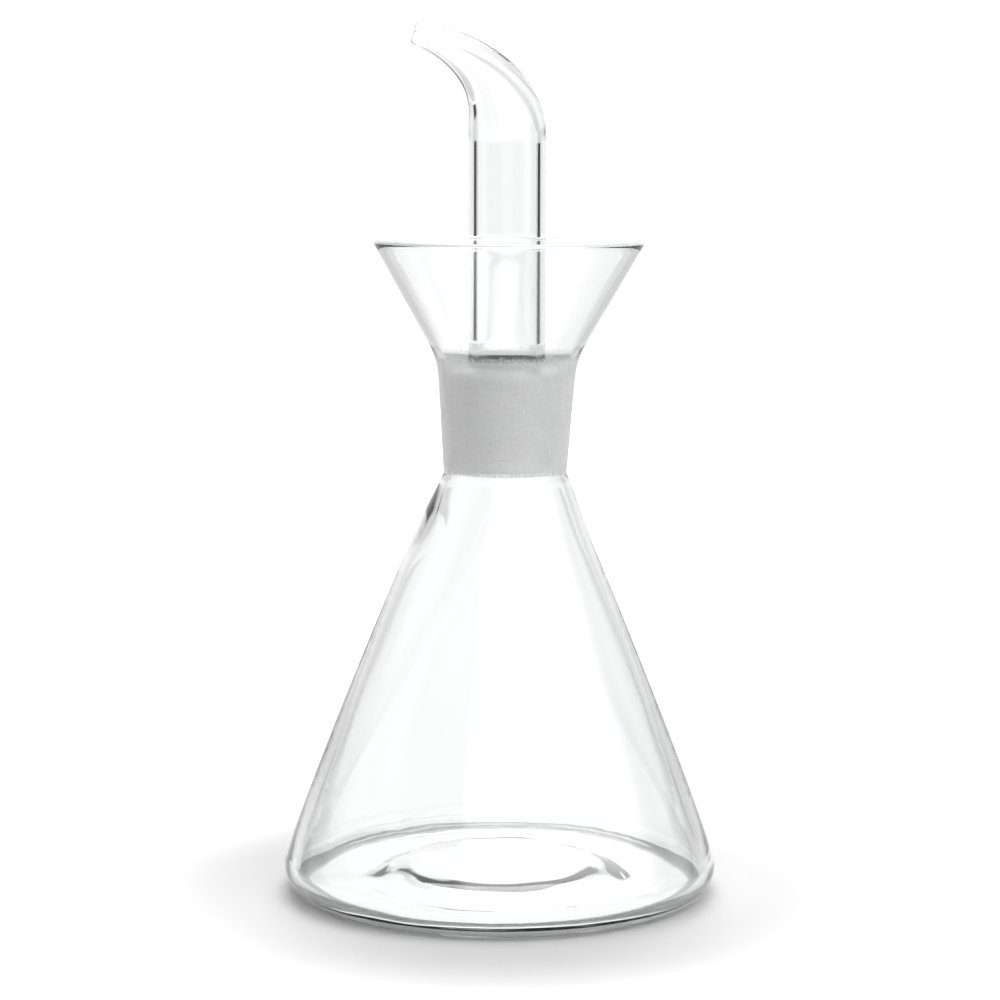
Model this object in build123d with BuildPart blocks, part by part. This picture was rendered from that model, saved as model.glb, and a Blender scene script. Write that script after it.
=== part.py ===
# Glass oil cruet: a conical flask with a ground socket and a drip funnel, and a pourer that
# lifts out: a hollow ground plug with a bent, drawn spout. Millimetres, +Z up, origin at the
# centre of the base on the table, spout towards -X.
import os
from math import cos, radians, sin

from build123d import *

os.makedirs("parts", exist_ok=True)

# Flask: a blown cone that stands on a narrow ring round a pushed-up floor
base_diameter = 95.0
heel_radius = 5.8            # rounding between the side and the table
heel_lean = 19.0             # degrees that the side leans in where it leaves the heel
heel_wall = 2.9              # glass round the heel
foot_width = 2.4             # flat ring that touches the table
side_wall = 2.1              # side of the cone, measured level
side_middle = (31.31, 50.0)  # a point of the slightly bulged side: radius, height
side_top = (18.82, 80.0)     # where the bulge runs out below the weld
side_top_slope = -0.39       # radius lost for each millimetre of height at the weld
weld_height = 92.9           # seam between the cone and the socket
weld_radius = 13.3
mouth_radius = 11.75         # inside of the cone at the seam
punt_crown = (0, 2.6)        # underside at the centre
punt_shoulder = (19.5, 2.2)  # the crown is nearly flat out to here
punt_foot = (28.0, 0.6)      # and the step down from it ends here
floor_wall = 3.1             # glass between the underside and the floor

# Ground joint: a slow taper cut in the socket and on the plug
taper_per_mm = 0.067         # growth of the radius for each millimetre of height
socket_radius = 11.85        # ground bore at the lower seam
socket_top = 117.4           # seam between the socket and the funnel
socket_foot_radius = 13.45   # outside at the lower seam
socket_side_height = 112.8   # outside stays a plain cone up to here
socket_side_radius = 14.80
socket_top_radius = 15.83    # outside at the upper seam
joint_gap = 0.05             # radial clearance between the two ground faces

# Funnel that catches the drips
funnel_blend_height = 121.5  # the flare is straight from here to the rim
funnel_blend_radius = 17.45
rim_height = 143.3
rim_radius = 29.5
funnel_wall = 1.5

# Plug: hollow, open below, domed above
plug_foot = 93.7
plug_shoulder = 112.0        # top of the ground face, where the dome starts
plug_wall = 1.4
plug_edge_round = 0.5        # fire-polished lower edge
dome_radius = 5.0            # outer rounding of the shoulder
dome_turn = 78.0             # degrees of it before the collar under the tube
tube_seam = 118.4            # seam between the plug and the tube
vent_diameter = 2.2          # air in, and drips back, through the shoulder
vent_azimuth = -59.0
vent_lean = 30.0             # degrees that its axis leans out from upright

# Spout tube: straight, then bent over and drawn down to a tip
tube_radius = 8.3
bore_radius = 6.65
bend_height = 165.5          # the straight tube ends here
tip_round = 0.3
bend_sections = 6            # spans between the sections that the bend is drawn through
# Knots of the bend's cubic curve, first and last on it and the others its handles: middle of
# the tube at x, z, its outer radius, the radius of its bore, and how far the bore sits
# towards the inside of the bend.
bend_knots = [
    (0.0, bend_height, tube_radius, bore_radius, 0.0),
    (0.0, 172.97, 8.78, 5.9, 0.62),
    (-3.51, 182.42, 3.87, 1.17, 1.02),
    (-19.98, 187.82, 2.69, 0.84, 0.72),
]


def socket_bore_at(height):
    """Radius of the ground bore at a height."""
    return socket_radius + taper_per_mm * (height - weld_height)


def plug_face_at(height):
    """Radius of the plug's ground face at a height."""
    return socket_bore_at(height) - joint_gap


def weighted_knots(weights):
    """Sum of the bend's knots, each value times its knot's weight."""
    return [sum(w * knot[i] for w, knot in zip(weights, bend_knots)) for i in range(5)]


def bend_at(t):
    """Section of the bend at t, from 0 to 1: its plane, outer radius, bore radius, bore offset.

    The plane's x axis points to the inside of the bend.
    """
    x, z, outer, bore, offset = weighted_knots(
        ((1 - t) ** 3, 3 * t * (1 - t) ** 2, 3 * t**2 * (1 - t), t**3))
    along_x, along_z = weighted_knots(
        (-((1 - t) ** 2), (1 - t) * (1 - 3 * t), t * (2 - 3 * t), t**2))[:2]
    plane = Plane(origin=(x, 0, z), x_dir=(-along_z, 0, along_x), z_dir=(along_x, 0, along_z))
    return plane, outer, bore, offset


# flask_body
heel_centre = (base_diameter / 2 - heel_radius, heel_radius)
lean_x, lean_y = cos(radians(heel_lean)), sin(radians(heel_lean))
heel_top = (heel_centre[0] + heel_radius * lean_x, heel_centre[1] + heel_radius * lean_y)
inner_heel_radius = heel_radius - heel_wall
inner_heel_top = (
    heel_centre[0] + inner_heel_radius * lean_x,
    heel_centre[1] + inner_heel_radius * lean_y,
)
inner_heel_foot = (heel_centre[0], heel_wall)
foot_inner = (heel_centre[0] - foot_width, 0)

with BuildPart() as flask_body:
    with BuildSketch(Plane.XZ):
        with BuildLine():
            # outside, from the middle of the underside to the seam
            Spline(punt_crown, punt_shoulder, punt_foot, foot_inner,
                   tangents=[(1, 0), (1, 0)])
            Line(foot_inner, (heel_centre[0], 0))
            TangentArc((heel_centre[0], 0), heel_top, tangent=(1, 0))
            Spline(heel_top, side_middle, side_top, (weld_radius, weld_height),
                   tangents=[(-lean_y, lean_x), (side_top_slope, 1)])
            Line((weld_radius, weld_height), (mouth_radius, weld_height))
            # inside, back down to the floor
            Spline((mouth_radius, weld_height),
                   (side_top[0] - side_wall, side_top[1]),
                   (side_middle[0] - side_wall, side_middle[1]),
                   inner_heel_top,
                   tangents=[(-side_top_slope, -1), (lean_y, -lean_x)])
            TangentArc(inner_heel_foot, inner_heel_top, tangent=(1, 0))
            Spline(inner_heel_foot,
                   (punt_foot[0], punt_foot[1] + floor_wall),
                   (punt_shoulder[0], punt_shoulder[1] + floor_wall),
                   (punt_crown[0], punt_crown[1] + floor_wall),
                   tangents=[(-1, 0), (-1, 0)])
            Line((punt_crown[0], punt_crown[1] + floor_wall), punt_crown)
        make_face()
    revolve(axis=Axis.Z)

# neck_socket
with BuildPart() as neck_socket:
    with BuildSketch(Plane.XZ):
        with BuildLine():
            Line((socket_radius, weld_height), (socket_foot_radius, weld_height))
            side = Line((socket_foot_radius, weld_height), (socket_side_radius, socket_side_height))
            TangentArc(side @ 1, (socket_top_radius, socket_top), tangent=side % 1)
            Line((socket_top_radius, socket_top), (socket_bore_at(socket_top), socket_top))
            Line((socket_bore_at(socket_top), socket_top), (socket_radius, weld_height))
        make_face()
    revolve(axis=Axis.Z)

# drip_funnel
flare = Vector(rim_radius - funnel_blend_radius, rim_height - funnel_blend_height).normalized()
wall_step = Vector(-flare.Y, flare.X) * funnel_wall
rim_outer = Vector(rim_radius, rim_height) - flare * (funnel_wall / 2)
rim_inner = rim_outer + wall_step
rim_crest = rim_outer + wall_step * 0.5 + flare * (funnel_wall / 2)

with BuildPart() as drip_funnel:
    with BuildSketch(Plane.XZ):
        with BuildLine():
            flared = Line((funnel_blend_radius, funnel_blend_height), rim_outer)
            TangentArc(flared @ 0, (socket_top_radius, socket_top), tangent=-(flared % 0))
            Line((socket_top_radius, socket_top), (socket_bore_at(socket_top), socket_top))
            Line((socket_bore_at(socket_top), socket_top), rim_inner)
            ThreePointArc(rim_inner, rim_crest, rim_outer)
        make_face()
    revolve(axis=Axis.Z)

# ground_plug
shoulder_radius = plug_face_at(plug_shoulder)
foot_radius = plug_face_at(plug_foot)
upright = (0, 1)

with BuildPart() as ground_plug:
    with BuildSketch(Plane.XZ):
        with BuildLine():
            # outside: ground face, dome, and the collar that runs up into the tube
            Line((foot_radius, plug_foot), (shoulder_radius, plug_shoulder))
            dome = JernArc((shoulder_radius, plug_shoulder), upright, dome_radius, dome_turn)
            TangentArc(dome @ 1, (tube_radius, tube_seam), tangent=dome % 1)
            Line((tube_radius, tube_seam), (bore_radius, tube_seam))
            # inside: the same shapes, one wall further in
            cavity = JernArc((shoulder_radius - plug_wall, plug_shoulder), upright,
                             dome_radius - plug_wall, 90)
            Polyline((bore_radius, tube_seam), (bore_radius, (cavity @ 1).Y), cavity @ 1)
            Polyline(cavity @ 0, (foot_radius - plug_wall, plug_foot), (foot_radius, plug_foot))
        make_face()
    revolve(axis=Axis.Z)
    fillet(ground_plug.edges().group_by(Axis.Z)[0], radius=plug_edge_round)
    outward = Vector(cos(radians(vent_azimuth)), sin(radians(vent_azimuth)), 0)
    vent_axis = outward * sin(radians(vent_lean)) + Vector(0, 0, cos(radians(vent_lean)))
    dome_centre = outward * (shoulder_radius - dome_radius) + Vector(0, 0, plug_shoulder)
    with BuildSketch(Plane(origin=dome_centre + vent_axis * dome_radius, z_dir=vent_axis)):
        Circle(vent_diameter / 2)
    extrude(amount=2 * plug_wall, both=True, mode=Mode.SUBTRACT)

# spout_tube
bend = [bend_at(i / bend_sections) for i in range(bend_sections + 1)]

with BuildPart() as spout_tube:
    with BuildSketch(Plane.XY.offset(tube_seam)):
        Circle(tube_radius)
    extrude(amount=bend_height - tube_seam)
    for plane, outer, bore, offset in bend:
        with BuildSketch(plane):
            Circle(outer)
    loft()
    fillet(spout_tube.edges().filter_by(GeomType.CIRCLE).sort_by(Axis.X)[0], radius=tip_round)
    with BuildSketch(Plane.XY.offset(tube_seam)):
        Circle(bore_radius)
    extrude(amount=bend_height - tube_seam, mode=Mode.SUBTRACT)
    for plane, outer, bore, offset in bend:
        with BuildSketch(plane):
            with Locations((offset, 0)):
                Circle(bore)
    loft(mode=Mode.SUBTRACT)

for name, piece in {
    "flask_body": flask_body,
    "neck_socket": neck_socket,
    "drip_funnel": drip_funnel,
    "ground_plug": ground_plug,
    "spout_tube": spout_tube,
}.items():
    piece.part.label = name
    export_step(piece.part, f"parts/{name}.step")
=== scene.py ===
import math

import bmesh
import bpy
from mathutils import Matrix, Vector, geometry, noise


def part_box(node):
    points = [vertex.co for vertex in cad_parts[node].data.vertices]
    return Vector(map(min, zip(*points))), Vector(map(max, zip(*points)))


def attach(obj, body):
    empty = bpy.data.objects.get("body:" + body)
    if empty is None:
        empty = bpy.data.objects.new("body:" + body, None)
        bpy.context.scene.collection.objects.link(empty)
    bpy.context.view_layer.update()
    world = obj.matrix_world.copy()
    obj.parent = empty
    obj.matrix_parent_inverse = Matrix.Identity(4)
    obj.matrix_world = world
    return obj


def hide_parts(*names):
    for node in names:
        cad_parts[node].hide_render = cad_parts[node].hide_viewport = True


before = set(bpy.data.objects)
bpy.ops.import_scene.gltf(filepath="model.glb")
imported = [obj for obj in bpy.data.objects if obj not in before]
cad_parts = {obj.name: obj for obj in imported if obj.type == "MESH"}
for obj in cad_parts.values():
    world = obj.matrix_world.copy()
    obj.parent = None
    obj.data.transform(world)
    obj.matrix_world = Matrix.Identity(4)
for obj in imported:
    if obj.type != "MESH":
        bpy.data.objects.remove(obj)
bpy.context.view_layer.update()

mm = 0.001
weldGap = 0.001 * mm  # points nearer than this are one
print("frame loaded:", ", ".join(sorted(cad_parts)))


class Shade:
    def __init__(self, tree, socket=None):
        self.tree = tree
        self.socket = socket

    def make(self, kind, values=None, out=0, **settings):
        node = self.tree.nodes.new(kind)
        for key, value in settings.items():
            setattr(node, key, value)
        for key, value in (values or {}).items():
            if isinstance(value, Shade):
                self.tree.links.new(value.socket, node.inputs[key])
            else:
                node.inputs[key].default_value = value
        return Shade(self.tree, node.outputs[out])

    def math(self, operation, *values):
        return self.make("ShaderNodeMath", dict(enumerate(values)), operation=operation)

    def __add__(self, other):
        return self.math("ADD", self, other)

    def __radd__(self, other):
        return self.math("ADD", other, self)

    def __sub__(self, other):
        return self.math("SUBTRACT", self, other)

    def __rsub__(self, other):
        return self.math("SUBTRACT", other, self)

    def __mul__(self, other):
        return self.math("MULTIPLY", self, other)

    def __rmul__(self, other):
        return self.math("MULTIPLY", other, self)

    def step(self, low, high):
        span = {"Value": self, "From Min": low, "From Max": high}
        return self.make("ShaderNodeMapRange", span, interpolation_type="SMOOTHSTEP")


def newMaterial(name):
    material = bpy.data.materials.new(name)
    material.use_nodes = True
    material.node_tree.nodes.clear()
    return material, Shade(material.node_tree)


clearFinish = {
    "ior": 1.47,
    "tint": (0.992, 0.996, 0.994, 1),
    "depth": 12.0,  # how strongly thick glass takes up light
    "depthTone": (0.1, 0.13, 0.12, 1),
    # faint waves left by drawing the glass
    "drawScale": 45.0,
    "drawSquash": 10.0,
    "drawDepth": 0.000014,
}
meltedFinish = {
    "tint": (0.95, 0.96, 0.955, 1),
    "clearness": 0.6,
    "rough": 0.12,
}
groundFinish = {
    "neckTone": 0.985,
    "plugTone": 0.58,
    "toneSpread": 0.4,
    "clearness": 0.38,
    "rough": 0.3,
    "roughSpread": 0.06,
    "speckle": 1900.0,
    "patch": 260.0,
    "grain": 2200.0,
    "grainDepth": 0.00001,
    "ragged": 0.8,  # how far the speckle eats into the edge
    "raggedFrom": 0.1,
    "raggedTo": 0.9,
    "topFade": 2.4 * mm,
    "footFade": 0.6 * mm,
}


def greyOf(start, level):
    return start.make("ShaderNodeCombineColor", {"Red": level, "Green": level, "Blue": level})


def output(shade, kind="ShaderNodeOutputMaterial", volume=None):
    node = shade.tree.nodes.new(kind)
    shade.tree.links.new(shade.socket, node.inputs["Surface"])
    if volume:
        shade.tree.links.new(volume.socket, node.inputs["Volume"])


def noiseOf(start, place, scale, detail):
    return start.make("ShaderNodeTexNoise", {"Vector": place, "Scale": scale, "Detail": detail})


def clearShader(start):
    place = start.make("ShaderNodeTexCoord", out="Object")
    squashed = start.make("ShaderNodeMapping", {"Vector": place, "Scale": (1, 1, clearFinish["drawSquash"])})
    draw = noiseOf(start, squashed, clearFinish["drawScale"], 1.0)
    return start.make("ShaderNodeBsdfPrincipled", {
        "Base Color": clearFinish["tint"],
        "Roughness": 0.0,
        "IOR": clearFinish["ior"],
        "Transmission Weight": 1.0,
        "Normal": start.make("ShaderNodeBump", {"Height": draw, "Distance": clearFinish["drawDepth"]}),
    })


def clearGlass():
    material, start = newMaterial("clearGlass")
    depth = {"Color": clearFinish["depthTone"], "Density": clearFinish["depth"]}
    output(clearShader(start), volume=start.make("ShaderNodeVolumeAbsorption", depth))
    return material


def groundGlass(name, level):
    material, start = newMaterial(name)
    place = start.make("ShaderNodeTexCoord", out="Object")
    speckle = noiseOf(start, place, groundFinish["speckle"], 2.0)
    patch = noiseOf(start, place, groundFinish["patch"], 3.0)
    grain = noiseOf(start, place, groundFinish["grain"], 1.0)
    tone = (speckle - 0.5) * groundFinish["toneSpread"] + level
    ground = start.make("ShaderNodeBsdfPrincipled", {
        "Base Color": greyOf(start, tone),
        "Roughness": (patch - 0.5) * groundFinish["roughSpread"] + groundFinish["rough"],
        "IOR": clearFinish["ior"],
        "Transmission Weight": groundFinish["clearness"],
        "Normal": start.make("ShaderNodeBump", {"Height": grain, "Distance": groundFinish["grainDepth"]}),
    })
    cut = start.make("ShaderNodeAttribute", out="Fac", attribute_name="ground")
    ragged = (speckle - 0.5) * groundFinish["ragged"] + cut
    share = ragged.step(groundFinish["raggedFrom"], groundFinish["raggedTo"])
    output(start.make("ShaderNodeMixShader", {0: share, 1: clearShader(start), 2: ground}))
    return material


def meltedGlass():  # the milky rounds at the funnel's edge and the foot
    material, start = newMaterial("meltedGlass")
    place = start.make("ShaderNodeTexCoord", out="Object")
    wave = noiseOf(start, place, clearFinish["drawScale"], 2.0)
    output(start.make("ShaderNodeBsdfPrincipled", {
        "Base Color": meltedFinish["tint"],
        "Roughness": wave * meltedFinish["rough"],
        "IOR": clearFinish["ior"],
        "Transmission Weight": meltedFinish["clearness"],
        "Normal": start.make("ShaderNodeBump", {"Height": wave, "Distance": clearFinish["drawDepth"]}),
    }))
    return material


# outlines are lists of radius and height
def arc(centre, radius, start, end, steps):
    turns = [math.radians(start + (end - start) * i / steps) for i in range(steps + 1)]
    return [(centre[0] + radius * math.cos(a), centre[1] + radius * math.sin(a)) for a in turns]


def bend(start, startHandle, endHandle, end, steps):
    knots = [Vector((x, y, 0)) for x, y in (start, startHandle, endHandle, end)]
    return [(p.x, p.y) for p in geometry.interpolate_bezier(*knots, steps + 1)]


def line(start, end, steps):
    return [tuple(Vector(start).lerp(Vector(end), i / steps)) for i in range(steps + 1)]


def spinProfile(points, closed, steps):
    bm = bmesh.new()
    verts = []
    for r, z in points:
        if not verts or (verts[-1].co - Vector((r, 0, z))).length > weldGap:
            verts.append(bm.verts.new((r, 0, z)))
    pairs = list(zip(verts, verts[1:] + verts[:1])) if closed else list(zip(verts, verts[1:]))
    edges = [bm.edges.new(pair) for pair in pairs]
    bmesh.ops.spin(bm, geom=verts + edges, cent=(0, 0, 0), axis=(0, 0, 1),
                   angle=2 * math.pi, steps=steps, use_merge=True)
    bmesh.ops.remove_doubles(bm, verts=bm.verts, dist=weldGap)
    bmesh.ops.recalc_face_normals(bm, faces=bm.faces)
    return bm


def fade(value, full, none):  # 1 at full, 0 at none
    return min(max((value - none) / (full - none), 0), 1)


def ease(t):
    return t * t * (3 - 2 * t)


def setGround(bm, foot, top):
    layer = bm.verts.layers.float.new("ground")
    for vert in bm.verts:
        vert[layer] = min(fade(vert.co.z, top - groundFinish["topFade"], top),
                          fade(vert.co.z, foot + groundFinish["footFade"], foot))


def makePiece(name, bm, materials):
    mesh = bpy.data.meshes.new(name)
    bm.to_mesh(mesh)
    bm.free()
    for face in mesh.polygons:
        face.use_smooth = True
    for material in materials:
        mesh.materials.append(material)
    piece = bpy.data.objects.new(name, mesh)
    bpy.context.collection.objects.link(piece)
    return piece


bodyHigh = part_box("flask_body")[1]
socketLow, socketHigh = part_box("neck_socket")
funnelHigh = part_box("drip_funnel")[1]
plugLow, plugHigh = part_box("ground_plug")

flaskShape = {
    "heelRound": 5.8 * mm,
    "heelLean": 19.0,
    "heelWall": 2.9 * mm,
    "heelPull": 1.4 * mm,
    "footWidth": 2.4 * mm,
    "footMelt": 2.6 * mm,
    "puntRise": 2.6 * mm,
    "puntCrown": 20.0 * mm,
    "puntEdge": 29.0 * mm,
    "floorWall": 3.1 * mm,
    # the cone: where it meets the weld, and what bulges its outer and inner face below
    "sideTop": 13.35 * mm,
    "sidePull": (28.5 * mm, -66.5 * mm),
    "wallPull": (26.6 * mm, -64.5 * mm),
    # the neck, cut to a taper inside
    "boreFoot": 11.85 * mm,
    "taper": 0.067,
    "neckFoot": 13.5 * mm,
    "neckStep": 0.3 * mm,
    "neckTop": (14.8 * mm, 112.8 * mm),
    "groundFoot": 92.7 * mm,
    "groundTop": 119.6 * mm,
    # the funnel
    "flarePull": (15.05 * mm, 116.2 * mm),
    "flareEase": (15.8 * mm, 118.6 * mm),
    "flareStart": (17.45 * mm, 121.5 * mm),
    "funnelWall": 1.5 * mm,
    "rimOut": 0.27 * mm,
    "rimDrop": 0.98 * mm,
    "lipDepth": 1.2 * mm,
    "throatDrop": 3 * mm,
    "throatTop": 0.2,
    "throatPull": 0.05,
    # how the hand-set neck stands off the body's axis
    "neckShift": 0.8 * mm,
    "neckLean": 0.0115,
    "shiftStart": 78 * mm,
    # glass that gathered on one side under the weld
    "gather": 0.8 * mm,
    "gatherHeight": 82 * mm,
    "gatherSpread": 5 * mm,
    "gatherAzimuth": 180.0,
    "gatherNarrow": 8,
    # waves on the inner face, strongest on the floor
    "ripple": 0.2 * mm,
    "rippleLeast": 0.15,
    "rippleTop": 22 * mm,
    "rippleScale": 75.0,
    "steps": 240,
}


def puntHeight(r):
    return flaskShape["puntRise"] * (1 - ease(fade(r, flaskShape["puntEdge"], flaskShape["puntCrown"])))


def boreAt(z):
    return flaskShape["boreFoot"] + flaskShape["taper"] * (z - socketLow.z)


def flaskProfile():
    shape = flaskShape
    weld = socketLow.z
    heelRound = shape["heelRound"]
    heel = (bodyHigh.x - heelRound, heelRound)
    lean = math.radians(shape["heelLean"])
    up = Vector((-math.sin(lean), math.cos(lean))) * shape["heelPull"]

    # outside: underside, heel, side, neck and funnel
    footIn = heel[0] - shape["footWidth"]
    outer = [(r, puntHeight(r)) for r in (footIn * i / 40 for i in range(41))]
    outer += arc(heel, heelRound, -90, shape["heelLean"], 16)
    sideTop = (shape["sideTop"], weld)
    outer += bend(outer[-1], Vector(outer[-1]) + up, Vector(sideTop) + Vector(shape["sidePull"]), sideTop, 70)
    outer += line((shape["neckFoot"], weld + shape["neckStep"]), shape["neckTop"], 12)
    outer += bend(shape["neckTop"], shape["flarePull"], shape["flareEase"], shape["flareStart"], 12)
    rim = Vector((funnelHigh.x + shape["rimOut"], funnelHigh.z - shape["rimDrop"]))
    flare = (rim - Vector(shape["flareStart"])).normalized()
    across = Vector((-flare.y, flare.x)) * shape["funnelWall"]
    rimOuter = rim - flare * shape["funnelWall"] / 2
    outer += line(shape["flareStart"], rimOuter, 16)
    tilt = math.degrees(math.atan2(-across.y, -across.x))
    outer += arc(rimOuter + across / 2, shape["funnelWall"] / 2, tilt, tilt + 180, 12)

    # inside, back down to the floor
    rimInner = rimOuter + across
    boreTop = (boreAt(socketHigh.z), socketHigh.z)
    throat = Vector(boreTop).lerp(rimInner, shape["throatTop"])
    throatPull = Vector(boreTop).lerp(rimInner, shape["throatPull"])
    throatFoot = socketHigh.z - shape["throatDrop"]
    belowThroat = (boreAt(throatFoot), throatFoot)
    inner = line(rimInner, throat, 14)
    inner += bend(throat, throatPull, boreTop, belowThroat, 10)
    inner += line(belowThroat, (shape["boreFoot"], weld), 24)
    mouth = (shape["boreFoot"], shape["groundFoot"])
    innerHeel = arc(heel, heelRound - shape["heelWall"], shape["heelLean"], -90, 12)
    wallPull = Vector(mouth) + Vector(shape["wallPull"])
    inner += bend(mouth, wallPull, Vector(innerHeel[0]) + up, innerHeel[0], 70)
    inner += innerHeel
    thicken = shape["heelWall"] - shape["floorWall"]
    inner += [(r, puntHeight(r) + shape["floorWall"] + thicken * r / heel[0])
              for r in (heel[0] * i / 40 for i in range(39, -1, -1))]
    return outer + inner


def neckOffset(z):
    shift = flaskShape["neckShift"] * ease(fade(z, socketLow.z, flaskShape["shiftStart"]))
    return shift + flaskShape["neckLean"] * max(z - socketLow.z, 0)


def blowInside(bm):  # the inner face is never as true as the outer one
    shape = flaskShape
    turn = math.radians(shape["gatherAzimuth"])
    side = Vector((math.cos(turn), math.sin(turn), 0))
    bm.normal_update()
    for vert in bm.verts:
        out = Vector((vert.co.x, vert.co.y, 0)).normalized()
        onFloor = vert.normal.z > 0.5 and vert.co.z < 2 * shape["heelRound"]
        if vert.co.z > socketLow.z - 1 * mm or not (onFloor or vert.normal.dot(out) < 0):
            continue
        offset = (vert.co.z - shape["gatherHeight"]) / shape["gatherSpread"]
        lobe = (1 + out.dot(side)) / 2
        thick = shape["gather"] * math.exp(-offset * offset) * lobe ** shape["gatherNarrow"]
        depth = shape["ripple"] * (shape["rippleLeast"] + fade(vert.co.z, 0, shape["rippleTop"]))
        ripple = depth * noise.noise(vert.co * shape["rippleScale"])
        vert.co += vert.normal * (thick + ripple)


def buildFlask(materials):
    bm = spinProfile(flaskProfile(), False, flaskShape["steps"])
    blowInside(bm)
    setGround(bm, flaskShape["groundFoot"], flaskShape["groundTop"])
    lip = funnelHigh.z - flaskShape["lipDepth"]
    footIn = bodyHigh.x - flaskShape["heelRound"]
    for face in bm.faces:  # 0 is clear, 1 ground, 2 melted
        middle = face.calc_center_median()
        inside = face.normal.x * middle.x + face.normal.y * middle.y < 0
        if inside and flaskShape["groundFoot"] < middle.z < flaskShape["groundTop"]:
            face.material_index = 1
        onFoot = middle.z < flaskShape["footMelt"] and middle.xy.length > footIn
        if middle.z > lip or onFoot and not inside:
            face.material_index = 2
    for vert in bm.verts:
        vert.co.x += neckOffset(vert.co.z)
    return makePiece("flask_glass", bm, materials)


pourerShape = {
    # the plug, ground outside
    "gap": 0.05 * mm,
    "wall": 1.4 * mm,
    "footRound": 0.4 * mm,
    "shoulder": 112.0 * mm,
    "groundTop": 115.6 * mm,
    "dome": 5.0 * mm,
    "domeTurn": 78.0,
    "collarPull": (-0.5 * mm, 0.1 * mm),
    "collarDrop": 1.0 * mm,
    "boreFlare": 0.6 * mm,
    "boreDrop": 0.2 * mm,
    "boreSpread": 0.3 * mm,
    # the tube and its bend
    "tube": 8.3 * mm,
    "bore": 6.65 * mm,
    "tubeLean": -0.0025,
    "bendHeight": 165.5 * mm,
    "bendLength": 34.0 * mm,
    "bendSteps": 60,
    # knots and handles of the bend: middle x, middle z, outer radius, bore radius, bore offset
    "bend": [
        (0.0, 165.5, 8.3, 6.65, 0.0),
        (0.0, 172.97, 8.78, 5.9, 0.62),
        (-3.51, 182.42, 3.87, 1.17, 1.02),
        (-19.98, 187.82, 2.69, 0.84, 0.72),
    ],
    "tipRound": 0.35 * mm,
    # the vent in the dome
    "vent": 1.1 * mm,
    "ventAzimuth": -59.0,
    "ventLean": 30.0,
    "ventReach": 5 * mm,
    "steps": 160,
}


def bendAt(t):
    weights = ((1 - t) ** 3, 3 * t * (1 - t) ** 2, 3 * t * t * (1 - t), t ** 3)
    return [sum(w * knot[i] for w, knot in zip(weights, pourerShape["bend"])) * mm for i in range(5)]


def plugFace(z):
    return boreAt(z) - pourerShape["gap"]


def pourerProfile():  # the tube stands straight here, and bendSpout bends it over
    shape = pourerShape
    tube, bore = shape["tube"], shape["bore"]
    top, length, steps = shape["bendHeight"], shape["bendLength"], shape["bendSteps"]
    footRound, tipRound = shape["footRound"], shape["tipRound"]
    tipOuter, tipBore = bendAt(1)[2:4]
    foot, seam, tip = plugLow.z, plugHigh.z, top + length
    shoulder = (plugFace(shape["shoulder"]), shape["shoulder"])
    domeCentre = (shoulder[0] - shape["dome"], shoulder[1])

    outer = arc((plugFace(foot) - footRound, foot + footRound), footRound, -90, 0, 4)
    outer += line((plugFace(foot), foot + 2 * footRound), shoulder, 10)
    outer += arc(domeCentre, shape["dome"], 0, shape["domeTurn"], 14)
    collarPull = (outer[-1][0] + shape["collarPull"][0], outer[-1][1] + shape["collarPull"][1])
    outer += bend(outer[-1], collarPull, (tube, seam - shape["collarDrop"]), (tube, seam), 6)
    outer += line((tube, seam), (tube, top), 24)
    outer += [(bendAt(i / steps)[2], top + length * i / steps) for i in range(1, steps)]
    outer += arc((tipOuter - tipRound, tip - tipRound), tipRound, 0, 90, 4)

    inner = arc((tipBore + tipRound, tip - tipRound), tipRound, 90, 180, 4)
    inner += [(bendAt(i / steps)[3], top + length * i / steps) for i in range(steps - 2, 0, -1)]
    cavityTop = shape["shoulder"] + shape["dome"] - shape["wall"]
    inner += line((bore, top), (bore, cavityTop + shape["boreFlare"]), 24)
    inner += bend(inner[-1], (bore, cavityTop + shape["boreDrop"]), (bore + shape["boreSpread"], cavityTop),
                  (domeCentre[0], cavityTop), 5)
    inner += arc(domeCentre, shape["dome"] - shape["wall"], 90, 0, 12)
    inner += line((plugFace(shape["shoulder"]) - shape["wall"], shape["shoulder"]),
                  (plugFace(foot) - shape["wall"], foot + 2 * footRound), 10)
    footIn = plugFace(foot) - shape["wall"] + footRound
    inner += arc((footIn, foot + footRound), footRound, 180, 270, 4)
    return outer + inner


def bendSpout(bm):
    shape = pourerShape
    for vert in bm.verts:
        t = (vert.co.z - shape["bendHeight"]) / shape["bendLength"]
        if t <= 0:
            continue
        x, z, outerRadius, boreRadius, offset = bendAt(min(t, 1))
        nextX, nextZ = bendAt(min(t, 1) + 0.001)[:2]
        along = Vector((nextX - x, 0, nextZ - z)).normalized()
        across = Vector((along.z, 0, -along.x))
        inBore = vert.co.xy.length < (outerRadius + boreRadius) / 2
        shift = -offset if inBore else 0
        vert.co = Vector((x, 0, z)) + across * (vert.co.x + shift) + Vector((0, vert.co.y, 0))


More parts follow.
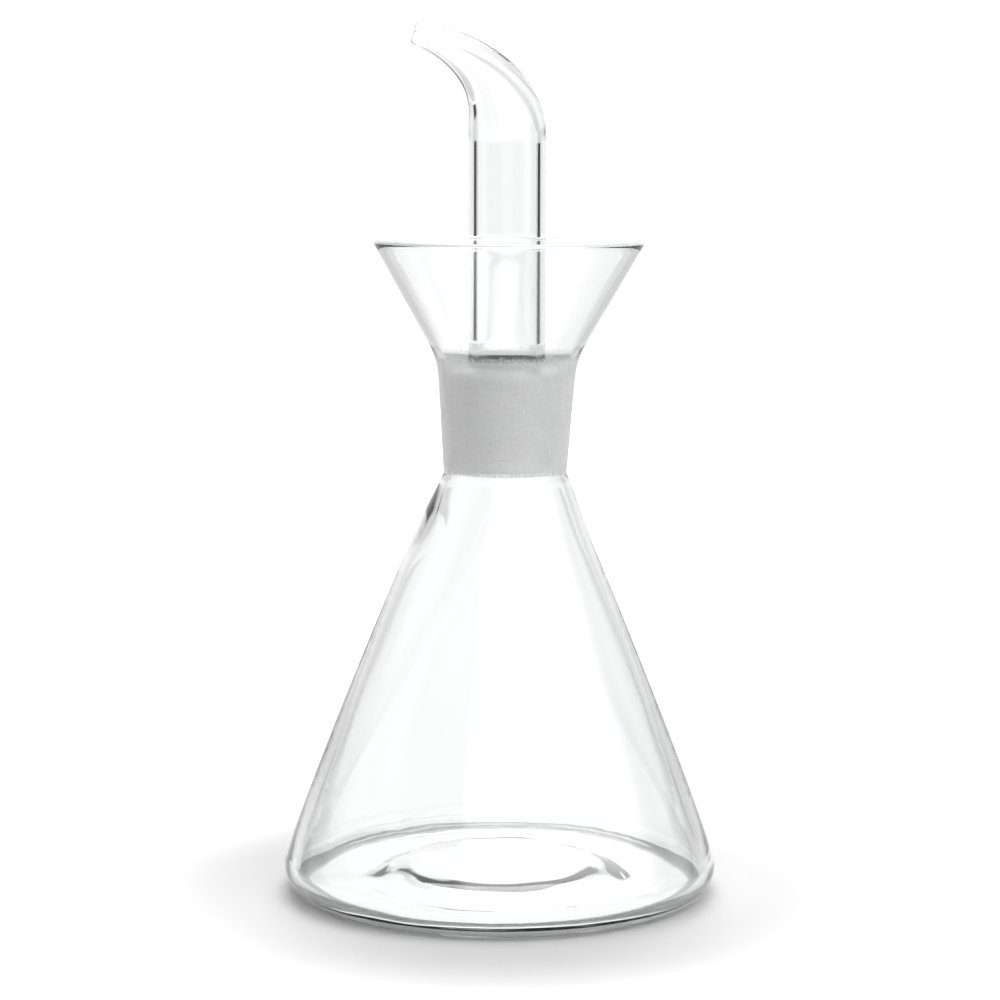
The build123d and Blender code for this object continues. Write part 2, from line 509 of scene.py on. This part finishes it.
def cutVent(bm):
    shape = pourerShape
    azimuth = math.radians(shape["ventAzimuth"])
    lean = math.radians(shape["ventLean"])
    outward = Vector((math.cos(azimuth), math.sin(azimuth), 0))
    axis = outward * math.sin(lean) + Vector((0, 0, math.cos(lean)))
    centre = outward * (plugFace(shape["shoulder"]) - shape["dome"])
    centre += Vector((0, 0, shape["shoulder"])) + axis * shape["dome"]

    def away(point):
        offset = point - centre
        return offset - axis * offset.dot(axis)

    near = [face for face in bm.faces if (face.calc_center_median() - centre).length < shape["ventReach"]]
    inHole = [face for face in near if away(face.calc_center_median()).length < shape["vent"]]
    bmesh.ops.delete(bm, geom=inHole, context="FACES")
    rims = [edge for edge in bm.edges if edge.is_boundary]
    for vert in {vert for edge in rims for vert in edge.verts}:
        offset = away(vert.co)
        vert.co += offset.normalized() * (shape["vent"] - offset.length)
    bmesh.ops.bridge_loops(bm, edges=rims)


def buildPourer(materials):
    bm = spinProfile(pourerProfile(), True, pourerShape["steps"])
    cutVent(bm)
    setGround(bm, plugLow.z - groundFinish["footFade"], pourerShape["groundTop"])
    bmesh.ops.recalc_face_normals(bm, faces=bm.faces)
    for face in bm.faces:
        middle = face.calc_center_median()
        outside = face.normal.x * middle.x + face.normal.y * middle.y > 0
        if outside and middle.z < pourerShape["groundTop"]:
            face.material_index = 1
    bendSpout(bm)
    for vert in bm.verts:
        fitted = min(vert.co.z, pourerShape["shoulder"])
        vert.co.x += neckOffset(fitted) + pourerShape["tubeLean"] * (vert.co.z - fitted)
    return makePiece("pourer_glass", bm, materials)


studio = {
    # table: painted light, it glows under the bottle as a painted pool where the glass gathers light, and
    # away from its shadow, so the shadow around the foot fades out as the painted glow rises
    "floorRadius": 1.2,
    "floorDrop": 0.05 * mm,
    "floorTone": (0.39, 0.39, 0.39, 1),
    "floorRough": 0.6,
    "floorGlow": 0.85,
    "paintedPoolRadius": 0.043,
    "glowSoft": 0.002,
    "glowFrom": 0.056,
    "glowTo": 0.13,
    # bright windows near the horizon, each with its azimuth and half width in degrees
    "windows": [(90, 40), (180, 22)],
    "windowSoft": 1.0,
    "windowCore": 14.0,
    "windowGlow": 1.08,
    "windowEdge": 0.8,
    # the dark to each side of them that draws the edges of the glass
    "darkHalf": 64.0,
    "darkSoft": 8.0,
    "dark": 0.0,
    "darkLow": -5.0,
    "darkLowSoft": 0.5,
    "darkHigh": 1.5,
    "darkHighSoft": 2.0,
    "overhead": 0.72,
    "side": 0.42,
    # a broad soft light above the front of the table
    "fillWay": 285,
    "fillNone": 90.0,
    "fillFull": 60.0,
    "fillLow": 4.0,
    "fillTop": 0.3,
    "fill": 3.6,
    # what the glass sees of the table: white straight through it, grey to the sides
    "matRise": 1 * mm,
    "matFrom": 0.052,
    "matTo": 0.0728,
    "matGrey": 0.7,
    "matWhite": 1.05,
    # white strips: azimuth, half width, width of the soft edge, reach, strength
    "strips": [
        (90, 0.045, 0.075, 2.0, 1.0),
        (180, 0.045, 0.075, 2.0, 1.0),
        (135, 0.045, 0.05, 0.26, 0.6),
        (315, 0.045, 0.06, 0.5, 0.8),
    ],
    "stripSpread": 0.13,
    "stripFrom": -0.03,
    "stripTo": 0.02,
    "reachSoft": 0.2,
    # softbox behind and above
    "boxPlace": (0, 0.5, 0.9),
    "boxAim": (0, 0, 0.05),
    "boxSize": 0.7,
    "boxPower": 9,
}


def sine(degrees):
    return math.sin(math.radians(degrees))


def cosine(degrees):
    return math.cos(math.radians(degrees))


def splitVector(start, vector):
    split = start.make("ShaderNodeSeparateXYZ", {"Vector": vector})
    return [Shade(start.tree, split.socket.node.outputs[axis]) for axis in "XYZ"]


def facingWay(start, x, y, level, way):  # cosine of the angle between a direction and an azimuth
    return start.math("DIVIDE", x * cosine(way) + y * sine(way), level)


def buildWorld():
    world = bpy.data.worlds.new("studio")
    bpy.context.scene.world = world
    world.use_nodes = True
    world.node_tree.nodes.clear()
    start = Shade(world.node_tree)
    x, y, z = splitVector(start, start.make("ShaderNodeTexCoord", out="Generated"))
    level = start.math("SQRT", 1.0 - z * z)
    window = core = near = 0.0
    soft = studio["windowSoft"]
    nearEdge = [cosine(studio["darkHalf"] + studio["darkSoft"]), cosine(studio["darkHalf"])]
    for way, half in studio["windows"]:
        facing = facingWay(start, x, y, level, way)
        window = start.math("MAXIMUM", window, facing.step(cosine(half + soft), cosine(half - soft)))
        core = start.math("MAXIMUM", core, facing.step(cosine(half), cosine(studio["windowCore"])))
        near = start.math("MAXIMUM", near, facing.step(*nearEdge))
    aboveLow = z.step(sine(studio["darkLow"] - studio["darkLowSoft"]), sine(studio["darkLow"]))
    aboveHigh = z.step(sine(studio["darkHigh"]), sine(studio["darkHigh"] + studio["darkHighSoft"]))
    band = aboveLow * (1.0 - aboveHigh)
    gap = band * (studio["dark"] - studio["overhead"]) + studio["overhead"]
    facing = facingWay(start, x, y, level, studio["fillWay"])
    fill = facing.step(cosine(studio["fillNone"]), cosine(studio["fillFull"]))
    fill = fill * z.step(sine(studio["fillLow"]), studio["fillTop"])
    side = fill * (studio["fill"] - studio["side"]) + studio["side"]
    around = near * gap + (1.0 - near) * side
    lit = core * (studio["windowGlow"] - studio["windowEdge"]) + studio["windowEdge"]
    around = window * lit + (1.0 - window) * around
    glow = aboveLow * around + (1.0 - aboveLow) * studio["windowGlow"]
    background = start.make("ShaderNodeBackground", {"Color": (1, 1, 1, 1), "Strength": glow})
    output(background, "ShaderNodeOutputWorld")


def makeDisc(name, height, material):
    bm = bmesh.new()
    bmesh.ops.create_circle(bm, cap_ends=True, segments=128, radius=studio["floorRadius"])
    bmesh.ops.translate(bm, verts=bm.verts, vec=(0, 0, height))
    return makePiece(name, bm, [material])


def lengthOf(start, vector):
    return start.make("ShaderNodeVectorMath", {"Vector": vector}, out="Value", operation="LENGTH")


def buildFloor():
    material, start = newMaterial("table")
    away = lengthOf(start, start.make("ShaderNodeTexCoord", out="Object"))
    # painted light: emission fills a pool under the bottle and rises away from the foot, leaving a ring where
    # the shadow shows
    under = 1.0 - away.step(studio["paintedPoolRadius"] - studio["glowSoft"], studio["paintedPoolRadius"])
    glow = start.math("MAXIMUM", under, away.step(studio["glowFrom"], studio["glowTo"]))
    output(start.make("ShaderNodeBsdfPrincipled", {
        "Base Color": studio["floorTone"],
        "Roughness": studio["floorRough"],
        "Emission Color": greyOf(start, glow),
        "Emission Strength": studio["floorGlow"],
    }))
    makeDisc("table", -studio["floorDrop"], material)


def buildMat():  # seen only through and in the glass, so that its edges show against the white
    material, start = newMaterial("mat")
    place = start.make("ShaderNodeTexCoord", out="Object")
    x, y, z = splitVector(start, place)
    away = lengthOf(start, place)
    white = 0.0
    nearer, further = 1 - studio["reachSoft"], 1 + studio["reachSoft"]
    for way, half, soft, reach, strength in studio["strips"]:
        along = x * cosine(way) + y * sine(way)
        aside = start.math("ABSOLUTE", x * sine(way) - y * cosine(way)) - along * studio["stripSpread"]
        inStrip = 1.0 - aside.step(half, half + soft)
        inReach = 1.0 - away.step(reach * nearer, reach * further)
        ahead = along.step(studio["stripFrom"], studio["stripTo"])
        white = start.math("MAXIMUM", white, ahead * inStrip * inReach * strength)
    tone = white * (studio["matWhite"] - studio["matGrey"]) + studio["matGrey"]
    output(start.make("ShaderNodeMixShader", {
        0: away.step(studio["matFrom"], studio["matTo"]),
        1: start.make("ShaderNodeBsdfTransparent"),
        2: start.make("ShaderNodeEmission", {"Color": greyOf(start, tone)}),
    }))
    mat = makeDisc("mat", studio["matRise"], material)
    mat.visible_camera = False
    mat.visible_diffuse = False
    mat.visible_shadow = False


def buildSoftbox():
    lamp = bpy.data.lights.new("back softbox", "AREA")
    lamp.shape = "SQUARE"
    lamp.size = studio["boxSize"]
    lamp.energy = studio["boxPower"]
    light = bpy.data.objects.new("back softbox", lamp)
    light.location = studio["boxPlace"]
    aim = Vector(studio["boxAim"]) - Vector(studio["boxPlace"])
    light.rotation_euler = aim.to_track_quat("-Z", "Y").to_euler()
    bpy.context.collection.objects.link(light)


lens = {
    "distance": 0.6466,
    "height": 0.1669,
    "side": -0.0003,
    "tilt": 7.084,
    "roll": 0.27,
    "focal": 107.37,
    "sensor": 36,
    "near": 0.01,
    "far": 50,
}


def buildCamera():
    camera = bpy.data.cameras.new("camera")
    camera.lens = lens["focal"]
    camera.sensor_width = lens["sensor"]
    camera.clip_start = lens["near"]
    camera.clip_end = lens["far"]
    view = bpy.data.objects.new("camera", camera)
    tilt = Matrix.Rotation(math.radians(90 - lens["tilt"]), 4, "X")
    roll = Matrix.Rotation(math.radians(lens["roll"]), 4, "Z")
    place = Matrix.Translation((lens["side"], -lens["distance"], lens["height"]))
    view.matrix_world = place @ tilt @ roll
    bpy.context.collection.objects.link(view)
    bpy.context.scene.camera = view
    bpy.context.scene.view_settings.view_transform = "Standard"


clear = clearGlass()
melted = meltedGlass()
flask = buildFlask([clear, groundGlass("groundNeck", groundFinish["neckTone"]), melted])
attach(flask, "flask")
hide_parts("flask_body", "neck_socket", "drip_funnel")
print("flask blown")

pourer = buildPourer([clear, groundGlass("groundPlug", groundFinish["plugTone"])])
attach(pourer, "pourer")
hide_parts("ground_plug", "spout_tube")
print("pourer drawn")

buildWorld()
buildFloor()
buildMat()
buildSoftbox()
buildCamera()
print("studio lit")
